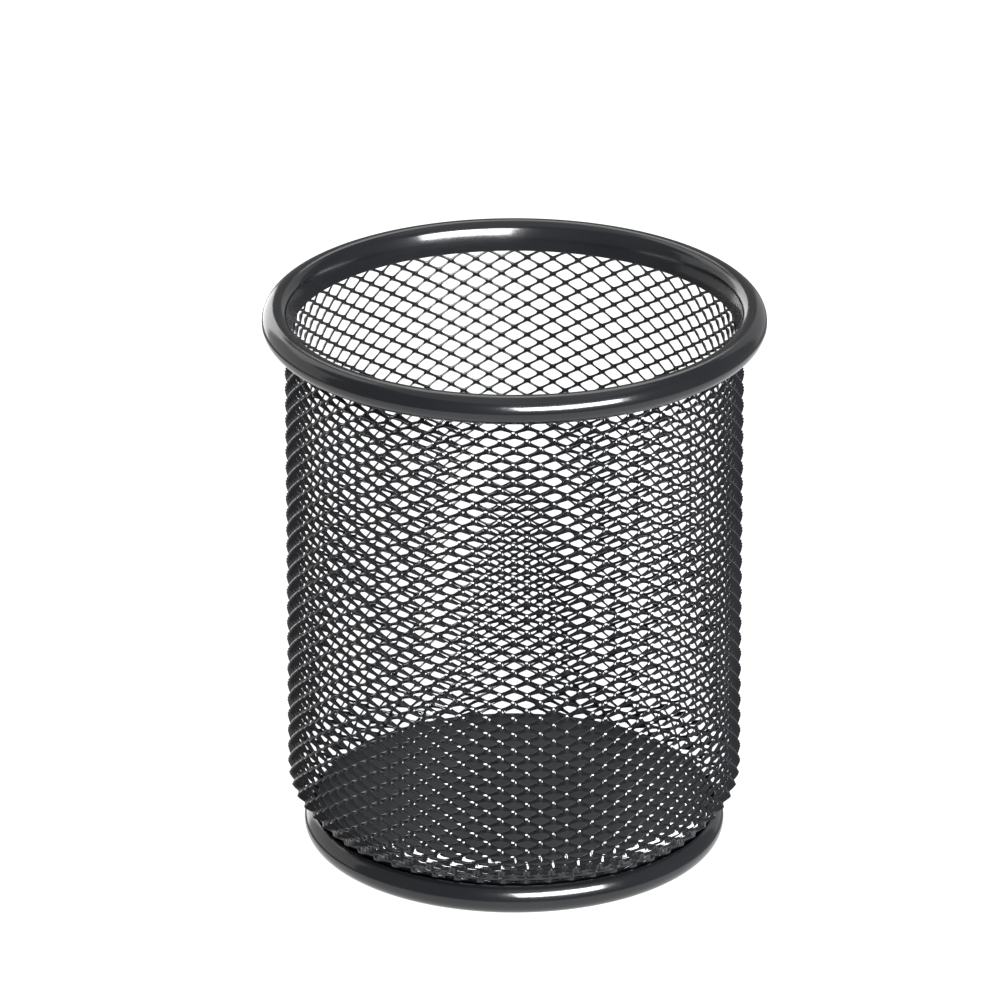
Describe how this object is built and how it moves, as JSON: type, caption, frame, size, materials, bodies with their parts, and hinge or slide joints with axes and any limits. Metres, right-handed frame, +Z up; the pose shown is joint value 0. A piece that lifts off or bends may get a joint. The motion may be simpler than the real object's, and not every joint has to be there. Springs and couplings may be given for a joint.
{
  "type": "pen holder cup",
  "caption": "Round desk cup for pens: an expanded-metal mesh wall held between rolled steel beads at rim and foot, with a flat floor plate inside.",
  "frame": {"origin": "on the table surface, under the middle of the cup", "axes": "+Z up along the cup's axis towards its open mouth; the cup is the same all the way round it"},
  "size_m": [0.0908, 0.0908, 0.1034],
  "materials": {
    "coated_bead": "smooth gloss black baked coating on rolled sheet steel",
    "coated_mesh": "gloss black baked coating on expanded steel mesh",
    "coated_plate": "satin black baked coating with a fine grain on flat sheet steel"
  },
  "bodies": {
    "root": {"top_rim": "coated_bead", "mesh_sleeve": "coated_mesh", "base_plate": "coated_plate", "base_ring": "coated_bead"}
  },
  "joints": []
}
